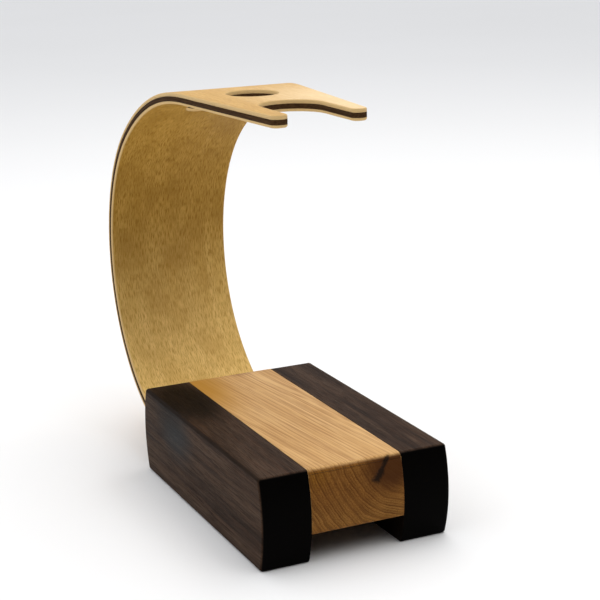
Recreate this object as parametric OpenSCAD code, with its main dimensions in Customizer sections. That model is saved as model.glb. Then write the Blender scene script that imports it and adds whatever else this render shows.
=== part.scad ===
// Shaving stand: a laminated wooden base with a bent plywood arm.
// Units are millimetres, +Z is up, the front of the stand faces -Y.
// Origin: centre of the base footprint, on the face the rails stand on.

/* [Base] */
// width across both rails and the centre strip
base_w = 75; // [60:0.5:100]
// length of the base between its top end edges
base_l = 114; // [90:1:150]
// height of the base
base_h = 35; // [28:0.5:45]
// how far each end swells out at mid height
end_swell = 3; // [1:0.25:5]
// thickness of each side rail
rail_w = 19; // [14:0.5:26]
// clear height under the centre strip
strip_gap = 11.5; // [10:0.25:16]
// rounding along the long outer edges of the rails
edge_r = 2; // [1:0.25:4]

/* [Arm] */
// inner plywood veneer thickness
ply_inner = 1.1; // [0.6:0.1:2]
// dark core thickness
ply_core = 1.9; // [1:0.1:3]
// outer plywood veneer thickness
ply_outer = 1.5; // [0.6:0.1:2]
// width of the arm along its upright part
arm_w = 53.5; // [44:0.5:70]
// how far the free front end reaches to the left of the centre line
tip_left = 20.6; // [18:0.2:27]
// how far the free front end reaches to the right of the centre line
tip_right = 16; // [14:0.2:27]
// inside radius of the main bend, from under the base to the shoulder of the arm
r_main = 66.5; // [50:0.5:90]
// inside radius of the gentler bend that leads into the level top
r_top = 107.5; // [70:0.5:140]
// where the main bend starts, behind the centre of the base
bend_y = 57; // [50:0.5:57]
// how far the free end reaches in front of the centre of the base
tip_reach = 40; // [30:0.5:60]
// how far the tongue reaches forward under the centre strip
tongue_l = 60; // [40:1:90]
// gap between the tongue and each rail
tongue_gap = 0.25; // [0.1:0.05:1]
// where the taper of the left edge towards the free end begins
taper_left_y = 45; // [30:1:90]
// where the taper of the right edge towards the free end begins
taper_right_y = 58; // [30:1:90]

/* [Openings] */
// sideways position of the line the openings lie on
open_x = -2; // [-3:0.25:3]
// width of the brush slot
slot_w = 24.5; // [20:0.5:28]
// centre of the closed round end of the brush slot
slot_y = -16.5; // [-30:0.5:-10]
// diameter of the round hole behind the slot
spare_d = 20; // [14:0.5:24]
// centre of that round hole
spare_y = 20; // [12:0.5:30]
// diameter of the razor hole
razor_d = 15; // [12:0.5:18]
// angle of the razor hole behind the level top, along the top bend
razor_a = 19.5; // [12:0.5:26]
// rounding of the prongs' corners
prong_r = 2.5; // [1:0.25:3]

/* [Screws] */
// thread diameter of the wood screws
screw_d = 3.5; // [3:0.5:4.5]
// head diameter of the wood screws
head_d = 7; // [6:0.5:9]
// length of the wood screws
screw_l = 20; // [16:1:25]
// sideways distance between the two rows of screws
screw_dx = 18; // [12:1:24]
// front row of screws
screw_y1 = 12; // [5:1:25]
// rear row of screws
screw_y2 = 42; // [30:1:50]

/* [Hidden] */
$fn = 96;
arm_t = ply_inner + ply_core + ply_outer;
strip_w = base_w - 2*rail_w;
tongue_w = strip_w - 2*tongue_gap;
tongue_y = base_l/2 + end_swell - tongue_l;
// swelling ends: one large cylinder across the base for each end
end_r = (base_h*base_h/4 + end_swell*end_swell) / (2*end_swell);
end_c = base_l/2 + end_swell - end_r;
shoulder_y = base_l/2 + end_swell + 0.5;
// centres of the bends in the side view [y, z]; the bends meet where both face join_dir
join_dir = [0.6, 0.8];
c_main = [bend_y, strip_gap + r_main];
c_top = c_main + (r_main - r_top)*join_dir;
// height of the arm's inner face along its level top
top_z = c_top[1] + r_top;
taper_left = (arm_w/2 - tip_left)/(taper_left_y + tip_reach);
taper_right = (arm_w/2 - tip_right)/(taper_right_y + tip_reach);
head_h = (head_d - screw_d)/2;

// ---- base ----

// the base's side view, a slab whose ends are parts of large cylinders across it
module swell() {
    intersection() {
        translate([-base_w, -base_l, 0]) cube([2*base_w, 2*base_l, base_h]);
        union() {
            translate([-base_w, -end_c - base_h/2, -1])
                cube([2*base_w, 2*end_c + base_h, base_h + 2]);
            for (y = [-end_c, end_c]) translate([-base_w, y, base_h/2]) rotate([0, 90, 0])
                cylinder(r = end_r, h = 2*base_w, $fn = 256);
        }
    }
}

// outline of the right rail seen from the front: two rounded outer edges
module rail_outline() {
    square([rail_w - edge_r, base_h]);
    translate([0, edge_r]) square([rail_w, base_h - 2*edge_r]);
    for (z = [edge_r, base_h - edge_r]) translate([rail_w - edge_r, z]) circle(r = edge_r);
}

module rail(side) {
    intersection() {
        swell();
        mirror([side < 0 ? 1 : 0, 0, 0]) translate([strip_w/2, base_l, 0]) rotate([90, 0, 0])
            linear_extrude(height = 2*base_l) rail_outline();
    }
}

module left_rail() color([0.20, 0.15, 0.12]) rail(-1);

module right_rail() color([0.20, 0.15, 0.12]) rail(1);

module centre_strip() color([0.72, 0.53, 0.33]) {
    difference() {
        intersection() {
            swell();
            translate([-strip_w/2, -base_l, strip_gap])
                cube([strip_w, 2*base_l, base_h - strip_gap]);
        }
        // eased lower rear edge, so the bend of the arm clears it
        translate([-strip_w, base_l/2 + end_swell, strip_gap - 2.6]) rotate([45, 0, 0])
            cube([2*strip_w, 4.2, 4.2]);
        for (x = [-1, 1], y = [screw_y1, screw_y2])
            translate([x*screw_dx/2, y, strip_gap - 1])
                cylinder(d = screw_d, h = screw_l - arm_t + 1, $fn = 32);
    }
}

// ---- arm ----

// side view of one bend: the ring r0 to r1 round c, inside the wedge given by its corners
module bend(c, r0, r1, wedge) {
    translate(c) intersection() {
        difference() {
            circle(r = r1, $fn = 256);
            circle(r = r0, $fn = 256);
        }
        polygon(wedge);
    }
}

// side view of a ply that lies between o0 and o1 outside the arm's inner face
module ply_profile(o0, o1) {
    far = 250;
    join = far*join_dir;
    translate([tongue_y, strip_gap - o1]) square([bend_y - tongue_y, o1 - o0]);
    bend(c_main, r_main + o0, r_main + o1, [[0, 0], [0, -far], [far, -far], [far, far], join]);
    bend(c_top, r_top + o0, r_top + o1, [[0, 0], join, [0, far]]);
    translate([-tip_reach, top_z + o0]) square([c_top[0] + tip_reach, o1 - o0]);
}

// what a prong loses at the corner [x, y]; side is the way out of the prong
module corner_loss(x, y, side) {
    difference() {
        translate([x + side*(0.5 - prong_r/2), y - 0.5 + prong_r/2])
            square(prong_r + 1, center = true);
        translate([x - side*prong_r, y + prong_r]) circle(r = prong_r, $fn = 48);
    }
}

// plan outline of the arm: tapering towards its free end, a little more on the right
module arm_outline() {
    far = 200;
    far_left = tip_left + taper_left*(far + tip_reach);
    far_right = tip_right + taper_right*(far + tip_reach);
    difference() {
        polygon([[-far_left, far], [-tip_left, -tip_reach],
                 [tip_right, -tip_reach], [far_right, far]]);
        corner_loss(-tip_left, -tip_reach, -1);
        corner_loss(tip_right, -tip_reach, 1);
        for (side = [-1, 1]) corner_loss(open_x + side*slot_w/2, -tip_reach, -side);
    }
}

// the space the arm may fill: tongue low down, tapering outline high up
module arm_limits() {
    translate([-tongue_w/2, tongue_y - 1, 0]) cube([tongue_w, shoulder_y - tongue_y + 2, base_h]);
    translate([-arm_w, shoulder_y, 0]) cube([2*arm_w, 200, top_z - 50]);
    translate([0, 0, top_z - 51]) linear_extrude(height = 70) arm_outline();
}

module arm_openings() {
    // brush slot, open to the front
    translate([open_x, slot_y, top_z - 5]) cylinder(d = slot_w, h = 20);
    translate([open_x - slot_w/2, slot_y - 60, top_z - 5]) cube([slot_w, 60, 20]);
    // round hole
    translate([open_x, spare_y, top_z - 5]) cylinder(d = spare_d, h = 20);
    // razor hole, square to the bend
    translate([open_x, c_top[0], c_top[1]]) rotate([-razor_a, 0, 0])
        translate([0, 0, r_top - 6]) cylinder(d = razor_d, h = 20);
    // screw holes with countersinks on the outer face
    for (x = [-1, 1], y = [screw_y1, screw_y2])
        translate([x*screw_dx/2, y, strip_gap - arm_t]) {
            translate([0, 0, -1]) cylinder(d = screw_d + 0.5, h = arm_t + 2, $fn = 32);
            cylinder(d1 = head_d, d2 = screw_d, h = head_h, $fn = 48);
            translate([0, 0, -1]) cylinder(d = head_d, h = 1, $fn = 48);
        }
}

module ply(o0, o1) {
    difference() {
        intersection() {
            translate([-arm_w/2, 0, 0]) rotate([90, 0, 90])
                linear_extrude(height = arm_w) ply_profile(o0, o1);
            arm_limits();
        }
        arm_openings();
    }
}

module arm_inner_ply() color([0.80, 0.66, 0.42]) ply(0, ply_inner);

module arm_core_ply() color([0.26, 0.18, 0.11]) ply(ply_inner, ply_inner + ply_core);

module arm_outer_ply() color([0.93, 0.77, 0.52]) ply(ply_inner + ply_core, arm_t);

// ---- screws ----

module wood_screw() {
    difference() {
        union() {
            cylinder(d1 = head_d, d2 = screw_d, h = head_h, $fn = 48);
            cylinder(d = screw_d, h = screw_l - 4, $fn = 32);
            translate([0, 0, screw_l - 4]) cylinder(d1 = screw_d, d2 = 0.8, h = 4, $fn = 32);
        }
        for (a = [0, 90]) rotate([0, 0, a]) translate([-2, -0.45, -1]) cube([4, 0.9, 2.2]);
    }
}

module arm_screws() color([0.72, 0.66, 0.48]) {
    for (x = [-1, 1], y = [screw_y1, screw_y2])
        translate([x*screw_dx/2, y, strip_gap - arm_t]) wood_screw();
}

left_rail();
right_rail();
centre_strip();
arm_inner_ply();
arm_core_ply();
arm_outer_ply();
arm_screws();
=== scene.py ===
import math

import bmesh
import bpy
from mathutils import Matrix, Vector
from mathutils.geometry import delaunay_2d_cdt

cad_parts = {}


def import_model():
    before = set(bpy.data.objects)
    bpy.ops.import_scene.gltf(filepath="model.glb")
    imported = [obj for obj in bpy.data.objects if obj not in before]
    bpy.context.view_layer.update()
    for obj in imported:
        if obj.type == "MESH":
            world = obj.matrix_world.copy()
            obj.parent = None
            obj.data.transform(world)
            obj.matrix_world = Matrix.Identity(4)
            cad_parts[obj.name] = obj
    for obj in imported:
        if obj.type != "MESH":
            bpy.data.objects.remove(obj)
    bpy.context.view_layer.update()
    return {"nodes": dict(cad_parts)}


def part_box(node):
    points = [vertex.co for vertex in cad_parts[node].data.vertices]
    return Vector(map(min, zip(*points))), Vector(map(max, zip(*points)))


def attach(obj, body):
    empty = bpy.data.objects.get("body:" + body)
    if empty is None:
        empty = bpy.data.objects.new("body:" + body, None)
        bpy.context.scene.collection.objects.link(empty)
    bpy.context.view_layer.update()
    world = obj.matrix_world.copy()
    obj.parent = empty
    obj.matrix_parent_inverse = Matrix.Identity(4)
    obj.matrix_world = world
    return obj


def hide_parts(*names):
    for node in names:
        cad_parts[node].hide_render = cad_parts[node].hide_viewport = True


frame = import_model()

MM = 0.001

# ------------------------------------------------------------------ sizes, in millimetres


def box_mm(node):
    low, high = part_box(node)
    return [v / MM for v in low], [v / MM for v in high]


rail_low, rail_high = box_mm("left_rail")
strip_low, strip_high = box_mm("centre_strip")
inner_low, inner_high = box_mm("arm_inner_ply")
core_low = box_mm("arm_core_ply")[0]
outer_low, outer_high = box_mm("arm_outer_ply")

BASE_H = rail_high[2]
BASE_HALF_W = -rail_low[0]
STRIP_HALF_W = strip_high[0]
STRIP_GAP = strip_low[2]
END_SWELL = 3.0
END_RADIUS = (BASE_H**2 / 4 + END_SWELL**2) / (2 * END_SWELL)
END_CENTRE = rail_high[1] - END_RADIUS

PLY_INNER = STRIP_GAP - inner_low[2]
PLY_CORE = inner_low[2] - core_low[2]
PLY_OUTER = core_low[2] - outer_low[2]
ARM_T = PLY_INNER + PLY_CORE + PLY_OUTER
ARM_HALF_W = inner_high[0]
TIP_LEFT = 20.6
TIP_RIGHT = 16.0
TIP_REACH = -inner_low[1]
TAPER_LEFT_Y = 45.0
TAPER_RIGHT_Y = 58.0
SHOULDER_Y = rail_high[1] + 0.5
TONGUE_HALF_W = STRIP_HALF_W - 0.25
TONGUE_LENGTH = 60.0
TOP_Z = outer_high[2] - ARM_T
R_MAIN = 66.5
R_TOP = 107.5
JOIN_ANGLE = math.pi - math.atan2(0.6, 0.8)
BEND_Y = outer_high[1] - ARM_T - R_MAIN
TONGUE_Y = rail_high[1] - TONGUE_LENGTH

OPEN_X = -2.0
SLOT_HALF_W = 12.25
SLOT_Y = -16.5
SPARE_R = 10.0
SPARE_Y = 20.0
RAZOR_R = 7.5
RAZOR_ANGLE = math.radians(19.5)
PRONG_R = 2.5

# small roundings of corners and edges
TONGUE_CORNER_R = 1.5
TONGUE_ROOT_R = 0.8
SHOULDER_R = 1.2
RAIL_END_R = 1.4
RAIL_OUTER_R = 1.3
RAIL_GLUED_R = 0.22
STRIP_GLUED_R = 0.2
STRIP_END_R = (3.0, 1.0, 2.6, 0.5)
INNER_RIM_R = 0.8
OUTER_RIM_R = 0.55

SCREW_HEAD_R = 3.5
SCREW_HOLE_R = 2.0

# spacing of the points that the plies' broad faces are made of
GRID_ALONG = 2.5
GRID_ACROSS = 2.55
GRID_COLUMNS = 10
GRID_GAP = 1.7

# ------------------------------------------------------------------ mesh helpers


def new_object(name, bm, material, node):
    """Turns a bmesh in millimetres into a piece that stands for a CAD node."""
    for v in bm.verts:
        v.co *= MM
    mesh = bpy.data.meshes.new(name)
    bm.to_mesh(mesh)
    bm.free()
    mesh.materials.append(material)
    for p in mesh.polygons:
        p.use_smooth = True
    piece = bpy.data.objects.new(name, mesh)
    bpy.context.scene.collection.objects.link(piece)
    normals = piece.modifiers.new("even_shading", "WEIGHTED_NORMAL")
    normals.keep_sharp = True
    normals.weight = 80
    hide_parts(node)
    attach(piece, "root")
    return piece


def fillet(points, radii, steps=5):
    """A closed anticlockwise outline with each corner rounded by its radius."""
    out = []
    count = len(points)
    for i, (p, r) in enumerate(zip(points, radii)):
        p = Vector(p)
        if r <= 0:
            out.append(p)
            continue
        a = (Vector(points[i - 1]) - p).normalized()
        b = (Vector(points[(i + 1) % count]) - p).normalized()
        half = a.angle(b) / 2
        reach = r / math.tan(half)
        centre = p + (a + b).normalized() * (r / math.sin(half))
        start = p + a * reach - centre
        end = p + b * reach - centre
        for k in range(steps + 1):
            way = start.lerp(end, k / steps).normalized() * r
            out.append(centre + way)
    return out


def inward_normals(loop):
    """Unit normals that point into an anticlockwise loop."""
    out = []
    count = len(loop)
    for i in range(count):
        a = (loop[i] - loop[i - 1]).normalized()
        b = (loop[(i + 1) % count] - loop[i]).normalized()
        t = (a + b).normalized()
        out.append(Vector((-t.y, t.x)))
    return out


def bridge(bm, ring_a, ring_b):
    """Faces between two closed rings of as many vertices each."""
    count = len(ring_a)
    for i in range(count):
        j = (i + 1) % count
        bm.faces.new((ring_a[i], ring_a[j], ring_b[j], ring_b[i]))


# ------------------------------------------------------------------ base


def end_y(z):
    """How far a base end reaches at height z."""
    return END_CENTRE + math.sqrt(END_RADIUS**2 - (z - BASE_H / 2) ** 2)


def side_outline(z0, z1, radii):
    """Side view of a base piece (y, z), anticlockwise seen from +X. radii are for rear bottom,
    rear top, front top and front bottom."""
    steps = 14
    heights = [z0 + (z1 - z0) * k / steps for k in range(steps + 1)]
    points = [(end_y(z), z) for z in heights]
    points += [(-end_y(z), z) for z in reversed(heights)]
    corner = {0: radii[0], steps: radii[1], steps + 1: radii[2], 2 * steps + 1: radii[3]}
    return fillet(points, [corner.get(i, 0) for i in range(len(points))])


def base_block(name, x0, x1, z0, radii, round0, round1, material, node):
    """A block between x0 and x1 whose side edges are rounded by round0 and round1."""
    loop = side_outline(z0, BASE_H, radii)
    inward = inward_normals(loop)
    bm = bmesh.new()
    stations = []
    arc = 5
    spans = 8
    for k in range(arc + 1):
        turn = math.pi / 2 * k / arc
        stations.append((x0 + round0 * (1 - math.cos(turn)), round0 * (1 - math.sin(turn))))
    for k in range(1, spans):
        stations.append((x0 + round0 + (x1 - x0 - round0 - round1) * k / spans, 0.0))
    for k in range(arc + 1):
        turn = math.pi / 2 * k / arc
        stations.append((x1 - round1 * (1 - math.sin(turn)), round1 * (1 - math.cos(turn))))
    rings = []
    for x, inset in stations:
        ring = []
        for p, n in zip(loop, inward):
            q = p + n * inset
            ring.append(bm.verts.new((x, q.x, q.y)))
        rings.append(ring)
    for a, b in zip(rings, rings[1:]):
        bridge(bm, a, b)
    bm.faces.new(list(reversed(rings[0])))
    bm.faces.new(rings[-1])
    bmesh.ops.recalc_face_normals(bm, faces=bm.faces)
    return new_object(name, bm, material, node)


# ------------------------------------------------------------------ arm

S_BEND = BEND_Y - TONGUE_Y
S_JOIN = S_BEND + R_MAIN * JOIN_ANGLE
S_LEVEL = S_JOIN + R_TOP * (math.pi - JOIN_ANGLE)
MAIN_CENTRE = (BEND_Y, STRIP_GAP + R_MAIN)
JOIN_DIR = (math.sin(JOIN_ANGLE), -math.cos(JOIN_ANGLE))
TOP_CENTRE = (
    MAIN_CENTRE[0] + (R_MAIN - R_TOP) * JOIN_DIR[0],
    MAIN_CENTRE[1] + (R_MAIN - R_TOP) * JOIN_DIR[1],
)
S_TIP = S_LEVEL + TOP_CENTRE[0] + TIP_REACH


def arm_place(s, out):
    """(y, z) of the point at length s along the arm's inner face, moved out by out."""
    if s < S_BEND:
        return TONGUE_Y + s, STRIP_GAP - out
    if s < S_JOIN:
        turn = (s - S_BEND) / R_MAIN
        centre, r = MAIN_CENTRE, R_MAIN
    elif s < S_LEVEL:
        turn = JOIN_ANGLE + (s - S_JOIN) / R_TOP
        centre, r = TOP_CENTRE, R_TOP
    else:
        return TOP_CENTRE[0] - (s - S_LEVEL), TOP_Z + out
    return centre[0] + (r + out) * math.sin(turn), centre[1] - (r + out) * math.cos(turn)


def level_s(y):
    """Length along the arm at depth y on its level top."""
    return S_LEVEL + TOP_CENTRE[0] - y


def reach(s, tip, taper_y):
    """How far one side of the arm reaches from the centre line at length s."""
    if s < S_JOIN:
        return ARM_HALF_W
    y = arm_place(s, ARM_T / 2)[0]
    slope = (ARM_HALF_W - tip) / (taper_y + TIP_REACH)
    return min(ARM_HALF_W, tip + slope * (y + TIP_REACH))


def arc_points(cx, cy, r, a0, a1, steps):
    """Points on a circle round (cx, cy) from angle a0 to angle a1."""
    out = []
    for k in range(steps + 1):
        a = a0 + (a1 - a0) * k / steps
        out.append((cx + r * math.cos(a), cy + r * math.sin(a)))
    return out


def arm_outline():
    """The arm unrolled flat, (x, s), anticlockwise, with the brush slot open at the far end."""
    s_shoulder = S_BEND + R_MAIN * math.asin((SHOULDER_Y - BEND_Y) / R_MAIN)
    count = int((S_TIP - s_shoulder) / GRID_ALONG)
    lengths = [s_shoulder + (S_TIP - s_shoulder) * k / count for k in range(count + 1)]
    points, radii = [], []

    def add(p, r=0.0):
        points.append(p)
        radii.append(r)

    add((-TONGUE_HALF_W, 0.0), TONGUE_CORNER_R)
    add((TONGUE_HALF_W, 0.0), TONGUE_CORNER_R)
    tongue_steps = 24
    for k in range(1, tongue_steps):
        add((TONGUE_HALF_W, s_shoulder * k / tongue_steps))
    add((TONGUE_HALF_W, s_shoulder), TONGUE_ROOT_R)
    add((ARM_HALF_W, s_shoulder), SHOULDER_R)
    for s in lengths[1:-1]:
        add((reach(s, TIP_RIGHT, TAPER_RIGHT_Y), s))
    add((TIP_RIGHT, S_TIP), PRONG_R)
    add((OPEN_X + SLOT_HALF_W, S_TIP), PRONG_R)
    s_slot = level_s(SLOT_Y)
    slot_steps = 7
    for k in range(1, slot_steps):
        add((OPEN_X + SLOT_HALF_W, S_TIP + (s_slot - S_TIP) * k / slot_steps))
    for p in arc_points(OPEN_X, s_slot, SLOT_HALF_W, 0, -math.pi, 36):
        add(p)
    for k in range(1, slot_steps):
        add((OPEN_X - SLOT_HALF_W, s_slot + (S_TIP - s_slot) * k / slot_steps))
    add((OPEN_X - SLOT_HALF_W, S_TIP), PRONG_R)
    add((-TIP_LEFT, S_TIP), PRONG_R)
    for s in reversed(lengths[1:-1]):
        add((-reach(s, TIP_LEFT, TAPER_LEFT_Y), s))
    add((-ARM_HALF_W, s_shoulder), SHOULDER_R)
    add((-TONGUE_HALF_W, s_shoulder), TONGUE_ROOT_R)
    for k in range(tongue_steps - 1, 0, -1):
        add((-TONGUE_HALF_W, s_shoulder * k / tongue_steps))
    return fillet(points, radii)


def hole(cx, cs, r, steps=56):
    """A round hole as a clockwise loop, so that its inward side is the wood."""
    return [Vector(p) for p in reversed(arc_points(cx, cs, r, 0, 2 * math.pi, steps)[:-1])]


def screw_spots():
    """The four screws' places on the flat tongue, (x, s)."""
    low, high = box_mm("arm_screws")
    return [
        (x, y - TONGUE_Y)
        for x in (low[0] + SCREW_HEAD_R, high[0] - SCREW_HEAD_R)
        for y in (low[1] + SCREW_HEAD_R, high[1] - SCREW_HEAD_R)
    ]


def inside(p, loop):
    """Whether p lies in a closed loop: a ray from it crosses the loop an odd number of times."""
    hit = False
    for i in range(len(loop)):
        a, b = loop[i - 1], loop[i]
        if (a.y > p[1]) != (b.y > p[1]):
            if p[0] < (b.x - a.x) * (p[1] - a.y) / (b.y - a.y) + a.x:
                hit = not hit
    return hit


def clear_of(p, loops, gap):
    """Whether p is more than gap away from every point of the loops."""
    return all((Vector(p) - q).length > gap for loop in loops for q in loop)


def ply(name, out0, out1, ease0, ease1, screw_r, material, node, slot):
    """One ply between out0 and out1 outside the arm's inner face; its rims are eased by
    ease0 on the inner side and ease1 on the outer side. Everything is laid out flat and
    then carried round the bends."""
    loops = [arm_outline()]
    loops.append(hole(OPEN_X, level_s(SPARE_Y), SPARE_R))
    loops.append(hole(OPEN_X, S_LEVEL - R_TOP * RAZOR_ANGLE, RAZOR_R))
    for x, s in screw_spots():
        loops.append(hole(x, s, screw_r, 24))
    normals = [inward_normals(loop) for loop in loops]

    grid = []
    rows = int(S_TIP / GRID_ALONG)
    for i in range(1, rows):
        for j in range(-GRID_COLUMNS, GRID_COLUMNS + 1):
            p = (j * GRID_ACROSS, S_TIP * i / rows)
            if inside(p, loops[0]) and all(not inside(p, h) for h in loops[1:]):
                if clear_of(p, loops, GRID_GAP):
                    grid.append(p)
    ease = max(ease0, ease1)
    flat, edges, eased = [], [], []
    for loop, normal in zip(loops, normals):
        first = len(flat)
        eased.append([p + n * ease for p, n in zip(loop, normal)])
        flat += eased[-1]
        count = len(loop)
        edges += [(first + k, first + (k + 1) % count) for k in range(count)]
    rim = len(flat)
    flat += [Vector(p) for p in grid]
    verts, _, faces, _, _, _ = delaunay_2d_cdt(flat, edges, [], 2, 1e-5)
    assert len(verts) == len(flat), "the flat outline crosses itself"
    holes = eased[1:]
    faces = [
        f
        for f in faces
        if not any(inside(sum((flat[k] for k in f), Vector((0, 0))) / len(f), h) for h in holes)
    ]

    bm = bmesh.new()
    grain = bm.verts.layers.float_vector.new("grain")

    def vert(p, out):
        y, z = arm_place(p.y, out)
        v = bm.verts.new((p.x, y, z))
        v[grain] = (p.x, p.y, out)
        return v

    def ring(depth, out):
        made = []
        for loop, normal in zip(loops, normals):
            made.append([vert(p + n * depth, out) for p, n in zip(loop, normal)])
        return made

    rings = []
    arc = 4
    for k in range(arc + 1):
        turn = math.pi / 2 * k / arc
        rings.append(ring(ease0 * (1 - math.sin(turn)), out0 + ease0 * (1 - math.cos(turn))))
        if ease0 == 0:
            break
    for k in range(arc + 1):
        turn = math.pi / 2 * k / arc
        rings.append(ring(ease1 * (1 - math.cos(turn)), out1 - ease1 * (1 - math.sin(turn))))
        if ease1 == 0:
            break
    for a, b in zip(rings, rings[1:]):
        for loop_a, loop_b in zip(a, b):
            bridge(bm, loop_a, loop_b)
    for rims, out, turn_over in ((rings[0], out0, True), (rings[-1], out1, False)):
        table = [v for loop in rims for v in loop]
        table += [vert(p, out) for p in flat[rim:]]
        for f in faces:
            corners = [table[k] for k in f]
            bm.faces.new(reversed(corners) if turn_over else corners)
    bmesh.ops.recalc_face_normals(bm, faces=bm.faces)
    return new_object(name, bm, material, node)


# ------------------------------------------------------------------ materials

DARK_PALE = (0.078, 0.047, 0.030)
DARK_DEEP = (0.026, 0.015, 0.010)
DARK_RED = (0.060, 0.031, 0.018)
DARK_LINE = (0.012, 0.007, 0.004)
DARK_GREY = (0.028, 0.031, 0.033)
# painted shade: the dark reflection on the left rail's top and the shade in the channel
DARK_PAINTED_SHADE = (0.0045, 0.003, 0.002)
# darker end grain with painted shade added for the unlit ends
DARK_END_AND_SHADE = (0.0012, 0.0009, 0.0007)
STRIP_PALE = (0.68, 0.420, 0.175)
STRIP_MID = (0.60, 0.350, 0.130)
STRIP_LINE = (0.35, 0.170, 0.050)
STRIP_AMBER = (0.43, 0.205, 0.028)
STRIP_BROWN = (0.27, 0.125, 0.045)
# painted shade for the strip's underside
STRIP_UNDER_SHADE = (0.050, 0.025, 0.010)
END_PALE = (0.350, 0.160, 0.036)
END_MID = (0.225, 0.088, 0.016)
END_LINE = (0.060, 0.019, 0.003)
END_GOLD = (0.280, 0.118, 0.012)
END_HEART = (0.040, 0.011, 0.004)
CRACK = (0.012, 0.006, 0.003)
RIM = (0.66, 0.45, 0.20)
CORE_DEEP = (0.036, 0.017, 0.007)
CORE_PALE = (0.075, 0.038, 0.015)
SCREW_LIGHT = (0.62, 0.47, 0.20)
SCREW_DULL = (0.50, 0.36, 0.16)
# inner veneer: lit tones low on the arm, and darker tones higher up as painted shade under the
# overhang
INNER_LIT = ((0.89, 0.62, 0.225), (0.75, 0.49, 0.150), (0.55, 0.325, 0.082))
INNER_SHADED = ((0.54, 0.325, 0.074), (0.43, 0.245, 0.046), (0.29, 0.150, 0.022))
OUTER_WARM = ((0.61, 0.375, 0.115), (0.53, 0.305, 0.082), (0.45, 0.240, 0.058))
OUTER_PALE = ((0.84, 0.640, 0.370), (0.78, 0.570, 0.310), (0.70, 0.490, 0.240))


class Nodes:
    """Short names for the shader nodes that the wood materials are made of."""

    def __init__(self, name):
        self.material = bpy.data.materials.new(name)
        self.material.use_nodes = True
        self.tree = self.material.node_tree
        self.tree.nodes.clear()
        self.out = self.tree.nodes.new("ShaderNodeOutputMaterial")
        self.shader = self.tree.nodes.new("ShaderNodeBsdfPrincipled")
        self.tree.links.new(self.shader.outputs["BSDF"], self.out.inputs["Surface"])

    def put(self, socket, value):
        if hasattr(value, "is_output"):
            self.tree.links.new(value, socket)
        else:
            socket.default_value = value

    def math(self, operation, a, b=0.0, c=0.0, clamp=False):
        n = self.tree.nodes.new("ShaderNodeMath")
        n.operation = operation
        n.use_clamp = clamp
        for socket, value in zip(n.inputs, (a, b, c)):
            self.put(socket, value)
        return n.outputs[0]

    def vector(self, operation, a, b=(0, 0, 0)):
        n = self.tree.nodes.new("ShaderNodeVectorMath")
        n.operation = operation
        self.put(n.inputs[0], a)
        self.put(n.inputs[1], b)
        return n.outputs["Value" if operation == "LENGTH" else "Vector"]

    def place(self, vector, location=(0, 0, 0), rotation=(0, 0, 0), scale=(1, 1, 1)):
        n = self.tree.nodes.new("ShaderNodeMapping")
        self.put(n.inputs["Vector"], vector)
        n.inputs["Location"].default_value = location
        n.inputs["Rotation"].default_value = rotation
        n.inputs["Scale"].default_value = scale
        return n.outputs[0]

    def split(self, vector):
        n = self.tree.nodes.new("ShaderNodeSeparateXYZ")
        self.put(n.inputs[0], vector)
        return n.outputs

    def noise(self, vector, scale, detail=4.0, rough=0.55, distortion=0.0):
        n = self.tree.nodes.new("ShaderNodeTexNoise")
        self.put(n.inputs["Vector"], vector)
        n.inputs["Scale"].default_value = scale
        n.inputs["Detail"].default_value = detail
        n.inputs["Roughness"].default_value = rough
        n.inputs["Distortion"].default_value = distortion
        return n.outputs["Fac"]

    def ramp(self, value, stops, ease="LINEAR"):
        n = self.tree.nodes.new("ShaderNodeValToRGB")
        self.put(n.inputs[0], value)
        n.color_ramp.interpolation = ease
        bar = n.color_ramp.elements
        while len(bar) < len(stops):
            bar.new(0.5)
        for element, (place, shade) in zip(bar, stops):
            element.position = place
            grey = (shade, shade, shade, 1) if isinstance(shade, (int, float)) else (*shade, 1)
            element.color = grey
        return n.outputs[0]

    def mix(self, amount, a, b, blend="MIX"):
        n = self.tree.nodes.new("ShaderNodeMix")
        n.data_type = "RGBA"
        n.blend_type = blend
        self.put(n.inputs[0], amount)
        for socket, value in ((n.inputs[6], a), (n.inputs[7], b)):
            self.put(socket, value if hasattr(value, "is_output") else (*value, 1))
        return n.outputs[2]

    def coordinates(self, attribute=None):
        """Millimetres: the object's own, or a vector that the mesh carries."""
        if attribute:
            n = self.tree.nodes.new("ShaderNodeAttribute")
            n.attribute_name = attribute
            return n.outputs["Vector"]
        n = self.tree.nodes.new("ShaderNodeTexCoord")
        return self.place(n.outputs["Object"], scale=(1 / MM, 1 / MM, 1 / MM))

    def facing(self):
        """The x, y and z parts of the way the surface faces."""
        n = self.tree.nodes.new("ShaderNodeNewGeometry")
        return self.split(n.outputs["Normal"])

    def end_grain(self):
        """1 on faces that look along the grain of the base, 0 on its sides."""
        along = self.math("ABSOLUTE", self.facing()[1])
        return self.ramp(along, [(0.45, 0.0), (0.8, 1.0)])

    def bump(self, height, distance, strength=1.0, before=None):
        n = self.tree.nodes.new("ShaderNodeBump")
        n.inputs["Strength"].default_value = strength
        n.inputs["Distance"].default_value = distance * MM
        self.put(n.inputs["Height"], height)
        if before is not None:
            self.put(n.inputs["Normal"], before)
        return n.outputs[0]

    def finish(self, colour, roughness, normal, specular=0.5):
        self.put(self.shader.inputs["Base Color"], colour)
        self.put(self.shader.inputs["Roughness"], roughness)
        self.put(self.shader.inputs["Normal"], normal)
        self.shader.inputs["Specular IOR Level"].default_value = specular
        return self.material


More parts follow.
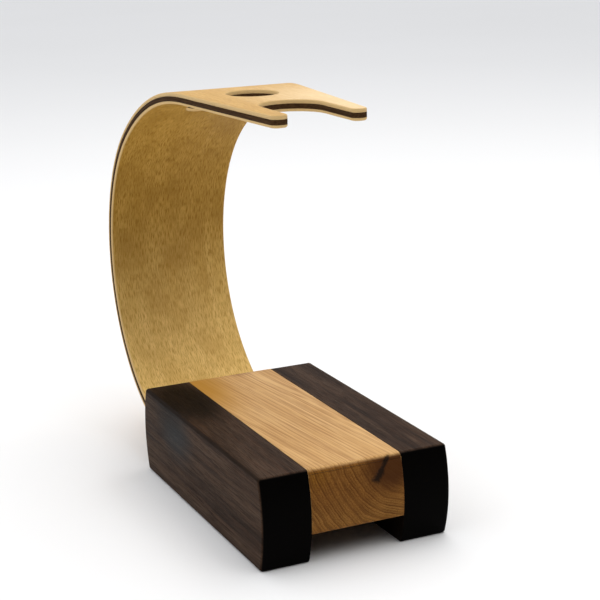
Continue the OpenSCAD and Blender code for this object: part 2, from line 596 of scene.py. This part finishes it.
def ring_field(n, place, pith, lean, wobble):
    """Distance from a pith line that runs along Y through pith (x, z), turned by lean and
    made a little uneven along the grain."""
    shift = n.place(place, location=(-pith[0], 0, -pith[1]))
    turned = n.place(shift, rotation=(0, 0, lean))
    slow = n.place(turned, scale=(1, 0.12, 1))
    offset = n.math("MULTIPLY_ADD", n.noise(slow, 0.055, 3.0, 0.5), wobble, -wobble / 2)
    flat = n.vector("MULTIPLY", turned, (1, 0, 1))
    return n.math("ADD", n.vector("LENGTH", flat), offset)


def ring_lines(n, radius, spacing):
    """Growth rings as a value from 0, early wood, to 1, late wood."""
    phase = n.math("FRACT", n.math("DIVIDE", radius, spacing))
    return n.ramp(phase, [(0.0, 0.0), (0.55, 0.3), (0.88, 1.0), (1.0, 0.0)], "EASE")


def near(n, place, spot, stretch, reach, soft):
    """1 close to a spot, falling to 0 at reach; an axis with a stretch below 1 reaches further."""
    shift = n.place(place, location=tuple(-v for v in spot))
    far = n.vector("LENGTH", n.vector("MULTIPLY", shift, stretch))
    return n.ramp(n.math("DIVIDE", far, reach), [(soft, 1.0), (1.0, 0.0)], "EASE")


def dark_wood():
    """Dark brown rails with a straight grain and nearly black ends, which are darker end grain
    with painted shade added.
    """
    n = Nodes("dark_wood")
    p = n.coordinates()

    # growth rings, then streaks and fibres along the grain
    late = ring_lines(n, ring_field(n, p, (-9, -48), 0.03, 18.0), 4.2)
    streak = n.noise(n.place(p, scale=(0.55, 0.018, 0.55)), 1.0, 5.0, 0.6)
    fibre = n.noise(n.place(p, scale=(2.6, 0.10, 2.6)), 1.0, 5.0, 0.62)
    band = n.noise(n.place(p, scale=(0.20, 0.009, 0.20)), 1.0, 3.0, 0.55)
    tone = n.mix(n.ramp(band, [(0.40, 0.0), (0.60, 1.0)]), DARK_DEEP, DARK_PALE)
    tone = n.mix(n.ramp(streak, [(0.42, 0.0), (0.62, 0.65)]), tone, DARK_RED)
    tone = n.mix(n.math("MULTIPLY", late, 0.55), tone, DARK_DEEP)
    tone = n.mix(n.ramp(fibre, [(0.46, 0.0), (0.68, 0.75)]), tone, DARK_LINE)

    # a grey patch on the left side, and a painted dark reflection of the arm on the left rail's
    # top, towards the rear
    grey = near(n, p, (-38.0, 24.0, 26.0), (1.0, 0.62, 1.0), 15.0, 0.1)
    tone = n.mix(n.math("MULTIPLY", grey, 0.8), tone, DARK_GREY)
    # painted dark reflection of the arm on the rail's top
    rear_top_shade = near(n, p, (-28.0, 34.0, 35.0), (0.8, 0.42, 1.0), 15.0, 0.35)
    tone = n.mix(n.math("MULTIPLY", rear_top_shade, 0.85), tone, DARK_PAINTED_SHADE)

    # the long rounded edges get a painted dark reflection, the walls of the channel get painted
    # shade, and the ends are darker end grain with painted shade added
    faces = n.facing()
    # painted dark reflection along the rounded long edges
    arris_shade = n.math("ABSOLUTE", n.math("MULTIPLY", faces[0], faces[2]))
    tone = n.mix(n.ramp(arris_shade, [(0.12, 0.0), (0.4, 0.7)]), tone, DARK_LINE)
    # painted shade on the walls of the channel
    place = n.split(p)
    aside = n.math("DIVIDE", n.math("ABSOLUTE", place[0]), 40.0)
    aside = n.ramp(aside, [(0.468, 1.0), (0.474, 0.0)])
    low = n.ramp(n.math("DIVIDE", place[2], 35.0), [(0.31, 1.0), (0.33, 0.0)])
    channel_shade = n.math("MULTIPLY", n.math("MULTIPLY", aside, low), 0.9)
    tone = n.mix(channel_shade, tone, DARK_PAINTED_SHADE)
    # nearly black ends: darker end grain with painted shade added
    tone = n.mix(n.end_grain(), tone, DARK_END_AND_SHADE)

    pores = n.noise(n.place(p, scale=(6.0, 0.30, 6.0)), 1.0, 2.0, 0.5)
    normal = n.bump(n.ramp(pores, [(0.28, 0.0), (0.42, 1.0)]), 0.05, 0.5)
    normal = n.bump(fibre, 0.08, 0.35, normal)
    rough = n.ramp(fibre, [(0.3, 0.36), (0.7, 0.5)])
    return n.finish(tone, rough, normal, specular=0.015)


def light_wood():
    """The pale centre strip, whose rings lie round a pith just above its upper right edge."""
    n = Nodes("light_wood")
    p = n.coordinates()
    radius = ring_field(n, p, (17.0, 39.0), -0.105, 6.0)
    late = ring_lines(n, radius, 1.7)
    fine = ring_lines(n, radius, 1.0)
    arcs = ring_lines(n, radius, 2.8)
    grain = n.place(p, rotation=(0, 0, -0.105))
    fibre = n.noise(n.place(grain, scale=(1.3, 0.022, 1.3)), 1.0, 5.0, 0.65)
    slow = n.noise(n.place(grain, scale=(0.10, 0.016, 0.10)), 1.0, 3.0, 0.5)
    uneven = n.noise(n.place(p, scale=(0.16, 0.05, 0.16)), 1.0, 2.0)
    uneven = n.ramp(uneven, [(0.35, 0.25), (0.65, 1.0)])

    # the top: grain lines, an amber patch at the rear left and a brown one at the rear edge
    tone = n.mix(n.ramp(slow, [(0.4, 0.0), (0.6, 1.0)]), STRIP_PALE, STRIP_MID)
    tone = n.mix(n.math("MULTIPLY", n.math("MULTIPLY", late, uneven), 0.95), tone, STRIP_LINE)
    tone = n.mix(n.ramp(fibre, [(0.47, 0.0), (0.66, 0.85)]), tone, STRIP_LINE)
    amber = near(n, p, (-17.0, 48.0, 35.0), (1.0, 0.33, 1.0), 16.0, 0.1)
    tone = n.mix(n.math("MULTIPLY", amber, 0.9), tone, STRIP_AMBER)
    brown = near(n, p, (4.0, 57.0, 35.0), (0.5, 1.0, 1.0), 5.0, 0.1)
    tone = n.mix(n.math("MULTIPLY", brown, 0.55), tone, STRIP_BROWN)

    # the ends: rings and fine specks, and in front also a golden left corner and a dark heart
    speck = n.noise(n.place(p, scale=(2.2, 0.4, 2.2)), 1.0, 5.0, 0.65)
    end_tone = n.mix(n.ramp(slow, [(0.4, 0.0), (0.62, 0.4)]), END_PALE, END_MID)
    upper = n.ramp(n.math("DIVIDE", n.split(p)[2], 35.0), [(0.42, 0.0), (0.66, 1.0)])
    end_tone = n.mix(n.math("MULTIPLY", upper, 0.6), end_tone, END_MID)
    gold = near(n, p, (-16.0, -58.0, 33.0), (1.0, 0.3, 1.0), 9.0, 0.1)
    end_tone = n.mix(n.math("MULTIPLY", gold, 0.6), end_tone, END_GOLD)
    heart = near(n, p, (14.0, -59.0, 30.5), (0.75, 0.3, 1.0), 11.5, 0.3)
    end_tone = n.mix(n.math("MULTIPLY", heart, 0.85), end_tone, END_HEART)
    end_tone = n.mix(n.math("MULTIPLY", n.math("MULTIPLY", fine, uneven), 0.8), end_tone, END_LINE)
    end_tone = n.mix(n.math("MULTIPLY", arcs, 0.5), end_tone, END_LINE)
    end_tone = n.mix(n.ramp(speck, [(0.42, 0.0), (0.66, 0.6)]), end_tone, END_LINE)

    # painted shade on the underside, and the ends take their own tone
    under_shade = n.ramp(n.math("MULTIPLY", n.facing()[2], -1.0), [(0.5, 0.0), (0.9, 1.0)])
    tone = n.mix(n.math("MULTIPLY", under_shade, 0.85), tone, STRIP_UNDER_SHADE)
    end = n.end_grain()
    tone = n.mix(end, tone, end_tone)

    # a short dark crack that leans across the front end near its heart
    ragged = n.math("MULTIPLY_ADD", n.noise(p, 0.7, 4.0, 0.6), 3.2, -1.6)
    parts = n.split(n.place(p, location=(-10.4, 0, -30.6)))
    across = n.math("ADD", n.math("MULTIPLY", parts[0], 0.80), n.math("MULTIPLY", parts[2], -0.62))
    along = n.math("ADD", n.math("MULTIPLY", parts[0], 0.62), n.math("MULTIPLY", parts[2], 0.80))
    thin = n.math("ABSOLUTE", n.math("ADD", across, n.math("MULTIPLY", ragged, 0.8)))
    wide = n.math("MULTIPLY_ADD", along, -0.13, 1.55)
    thin = n.ramp(n.math("DIVIDE", thin, wide), [(0.35, 1.0), (0.9, 0.0)])
    span = n.math("DIVIDE", n.math("ABSOLUTE", n.math("ADD", along, ragged)), 6.4)
    span = n.ramp(span, [(0.7, 1.0), (1.0, 0.0)])
    front = n.ramp(n.math("MULTIPLY", n.split(p)[1], -1 / 60.0), [(0.92, 0.0), (0.955, 1.0)])
    crack = n.math("MULTIPLY", n.math("MULTIPLY", thin, span), front)
    tone = n.mix(n.math("MULTIPLY", crack, 0.93), tone, CRACK)

    normal = n.bump(fibre, 0.08, 0.3)
    normal = n.bump(n.math("SUBTRACT", 1.0, crack), 0.4, 0.5, normal)
    rough = n.mix(end, (0.40, 0.40, 0.40), (0.55, 0.55, 0.55))
    return n.finish(tone, rough, normal, specular=0.06)


ALONG_SCALE = 400.0


def veneer(name, shades, along, across, face, specular, mottle):
    """A sliced veneer: long fine streaks along the arm, short flecks and faint blotches.
    shades holds (pale, deep, fleck) twice; the colour turns from the first three to the second
    between the two lengths in along and the two side positions in across; on the inner veneer
    that turn is painted shade towards the top. face is how far out the veneer's broad face lies;
    its cut edges are paler. mottle is how strong the flecks are."""
    n = Nodes(name)
    p = n.coordinates("grain")
    parts = n.split(p)
    stops = [(s / ALONG_SCALE, shade) for s, shade in zip(along, (0.0, 1.0))]
    turn = n.ramp(n.math("DIVIDE", parts[1], ALONG_SCALE), stops, "EASE")
    if across:
        start, end = across
        side = n.math("DIVIDE", n.math("SUBTRACT", parts[0], start), end - start, clamp=True)
        turn = n.math("MULTIPLY", turn, side)
    pale, deep, fleck = (n.mix(turn, a, b) for a, b in zip(*shades))
    broad = n.noise(n.place(p, scale=(0.16, 0.010, 0.16)), 1.0, 4.0, 0.55, 0.4)
    streak = n.noise(n.place(p, scale=(1.2, 0.030, 1.2)), 1.0, 5.0, 0.6)
    short = n.noise(n.place(p, scale=(3.0, 0.28, 3.0)), 1.0, 3.0, 0.55)
    blotch = n.noise(n.place(p, scale=(0.07, 0.05, 0.07)), 1.0, 4.0, 0.62)
    tone = n.mix(n.ramp(broad, [(0.36, 0.0), (0.64, 0.8)]), pale, deep)
    tone = n.mix(n.ramp(streak, [(0.42, 0.0), (0.7, 0.55)]), tone, deep)
    tone = n.mix(n.ramp(short, [(0.46, 0.0), (0.62, mottle)]), tone, fleck)
    tone = n.mix(n.ramp(blotch, [(0.44, 0.0), (0.62, 0.5 * mottle)]), tone, fleck)
    depth = n.math("ABSOLUTE", n.math("SUBTRACT", parts[2], face))
    tone = n.mix(n.math("DIVIDE", depth, 0.2, clamp=True), tone, RIM)
    normal = n.bump(short, 0.04, 0.4)
    normal = n.bump(streak, 0.06, 0.3, normal)
    rough = n.ramp(streak, [(0.3, 0.42), (0.7, 0.54)])
    return n.finish(tone, rough, normal, specular=specular)


def core_veneer():
    """The dark veneer in the middle, seen only at its edges."""
    n = Nodes("core_veneer")
    p = n.coordinates("grain")
    streak = n.noise(n.place(p, scale=(1.5, 0.05, 2.6)), 1.0, 5.0, 0.6)
    tone = n.mix(n.ramp(streak, [(0.4, 0.0), (0.65, 1.0)]), CORE_DEEP, CORE_PALE)
    normal = n.bump(streak, 0.08, 0.4)
    return n.finish(tone, 0.6, normal, specular=0.02)


def screw_metal():
    """Slightly scuffed brass."""
    n = Nodes("screw_metal")
    p = n.coordinates()
    scuff = n.noise(p, 1.6, 5.0, 0.6)
    tone = n.mix(n.ramp(scuff, [(0.4, 0.0), (0.6, 1.0)]), SCREW_LIGHT, SCREW_DULL)
    normal = n.bump(scuff, 0.02, 0.4)
    n.shader.inputs["Metallic"].default_value = 1.0
    return n.finish(tone, n.ramp(scuff, [(0.3, 0.26), (0.7, 0.42)]), normal)


# ------------------------------------------------------------------ pieces

dark = dark_wood()


def rail(name, x0, x1, round0, round1, node):
    radii = (RAIL_END_R,) * 4
    base_block(name, x0, x1, 0, radii, round0, round1, dark, node)


rail("left_rail_wood", -BASE_HALF_W, -STRIP_HALF_W, RAIL_OUTER_R, RAIL_GLUED_R, "left_rail")
rail("right_rail_wood", STRIP_HALF_W, BASE_HALF_W, RAIL_GLUED_R, RAIL_OUTER_R, "right_rail")
base_block(
    "centre_strip_wood",
    -STRIP_HALF_W,
    STRIP_HALF_W,
    STRIP_GAP,
    STRIP_END_R,
    STRIP_GLUED_R,
    STRIP_GLUED_R,
    light_wood(),
    "centre_strip",
)

# the inner veneer darkens towards the top of the arm: painted shade under the overhang
inner_wood = veneer("inner_veneer", (INNER_LIT, INNER_SHADED), (112, 182), None, 0.0, 0.05, 1.0)
outer_shades = (OUTER_WARM, OUTER_PALE)
outer_wood = veneer("outer_veneer", outer_shades, (270, 330), (-16, 14), ARM_T, 0.08, 0.75)
core_wood = core_veneer()
core_out = PLY_INNER + PLY_CORE

LAYERS = (
    # name, from, to, inner and outer rim rounding, screw hole radius, wood, node, slot
    ("arm_inner_veneer", 0, PLY_INNER, INNER_RIM_R, 0, SCREW_HOLE_R,
     inner_wood, "arm_inner_ply", "inner_veneer"),
    ("arm_core", PLY_INNER, core_out, 0, 0, SCREW_HOLE_R,
     core_wood, "arm_core_ply", "core_veneer"),
    ("arm_outer_veneer", core_out, ARM_T, 0, OUTER_RIM_R, SCREW_HEAD_R,
     outer_wood, "arm_outer_ply", "outer_veneer"),
)
for layer in LAYERS:
    ply(*layer)

screws = frame["nodes"]["arm_screws"]
screws.data.materials.clear()
screws.data.materials.append(screw_metal())

# ------------------------------------------------------------------ floor, light and camera


SKY = 1.38
WARM_WHITE = (1.0, 0.985, 0.96)
FLOOR_RADIUS = 6.0


def floor():
    """A wide disc of plain white paper."""
    bm = bmesh.new()
    bmesh.ops.create_circle(bm, cap_ends=True, segments=96, radius=FLOOR_RADIUS)
    mesh = bpy.data.meshes.new("floor")
    bm.to_mesh(mesh)
    bm.free()
    n = Nodes("floor_paper")
    p = n.coordinates()
    n.finish(
        n.mix(n.noise(p, 0.002, 2.0), (0.83, 0.825, 0.815), (0.86, 0.855, 0.85)),
        0.85,
        n.bump(n.noise(p, 0.8, 2.0), 0.02, 0.1),
        specular=0.1,
    )
    mesh.materials.append(n.material)
    plane = bpy.data.objects.new("floor", mesh)
    bpy.context.scene.collection.objects.link(plane)


def softbox(name, place, target, size, watts, tint=(1, 1, 1)):
    """A rectangular light at place, turned towards target."""
    data = bpy.data.lights.new(name, "AREA")
    data.shape = "RECTANGLE"
    data.size, data.size_y = size
    data.energy = watts
    data.color = tint
    lamp = bpy.data.objects.new(name, data)
    lamp.location = place
    lamp.rotation_euler = (Vector(target) - Vector(place)).to_track_quat("-Z", "Y").to_euler()
    bpy.context.scene.collection.objects.link(lamp)


def camera():
    """In front of the stand and to its left, a little above the arm, turned slightly."""
    data = bpy.data.cameras.new("camera")
    data.sensor_width = 36.0
    data.lens = 92.6
    eye = bpy.data.objects.new("camera", data)
    yaw, pitch, roll = math.radians(25.0), math.radians(14.98), math.radians(-1.25)
    forward = Vector(
        (math.sin(yaw) * math.cos(pitch), math.cos(yaw) * math.cos(pitch), -math.sin(pitch))
    )
    right = Vector((math.cos(yaw), -math.sin(yaw), 0))
    up = right.cross(forward)
    turned_right = right * math.cos(roll) + up * math.sin(roll)
    turned_up = up * math.cos(roll) - right * math.sin(roll)
    matrix = eye.matrix_world.copy()
    for row in range(3):
        matrix[row][0] = turned_right[row]
        matrix[row][1] = turned_up[row]
        matrix[row][2] = -forward[row]
    matrix.translation = Vector((-0.23325, -0.5145, 0.23175))
    eye.matrix_world = matrix
    bpy.context.scene.collection.objects.link(eye)
    bpy.context.scene.camera = eye


def world():
    """A soft sky that is bright above and behind the stand and dim in front of it."""
    made = bpy.data.worlds.new("studio")
    made.use_nodes = True
    tree = made.node_tree
    sky = tree.nodes["Background"]
    where = tree.nodes.new("ShaderNodeTexCoord")
    facing = tree.nodes.new("ShaderNodeVectorMath")
    facing.operation = "DOT_PRODUCT"
    facing.inputs[1].default_value = Vector((-0.08, 0.42, 0.90)).normalized()
    ramp = tree.nodes.new("ShaderNodeValToRGB")
    ramp.color_ramp.interpolation = "EASE"
    low, high = ramp.color_ramp.elements
    low.position, low.color = 0.0, (0.04, 0.04, 0.045, 1)
    high.position, high.color = 1.0, (0.955, 0.970, 1.0, 1)
    tree.links.new(where.outputs["Generated"], facing.inputs[0])
    tree.links.new(facing.outputs["Value"], ramp.inputs[0])
    tree.links.new(ramp.outputs["Color"], sky.inputs["Color"])
    sky.inputs["Strength"].default_value = SKY
    bpy.context.scene.world = made


floor()
softbox("key", (0.30, 0.30, 1.0), (0, 0, 0.06), (1.0, 0.9), 4.2, WARM_WHITE)
softbox("front_top", (0.30, -0.60, 0.95), (0, 0, 0.06), (0.8, 0.6), 3.0, WARM_WHITE)
softbox("left_fill", (-1.1, -0.1, 0.5), (0, 0, 0.08), (0.7, 0.9), 1.6)
camera()
world()
bpy.context.scene.view_settings.view_transform = "Standard"
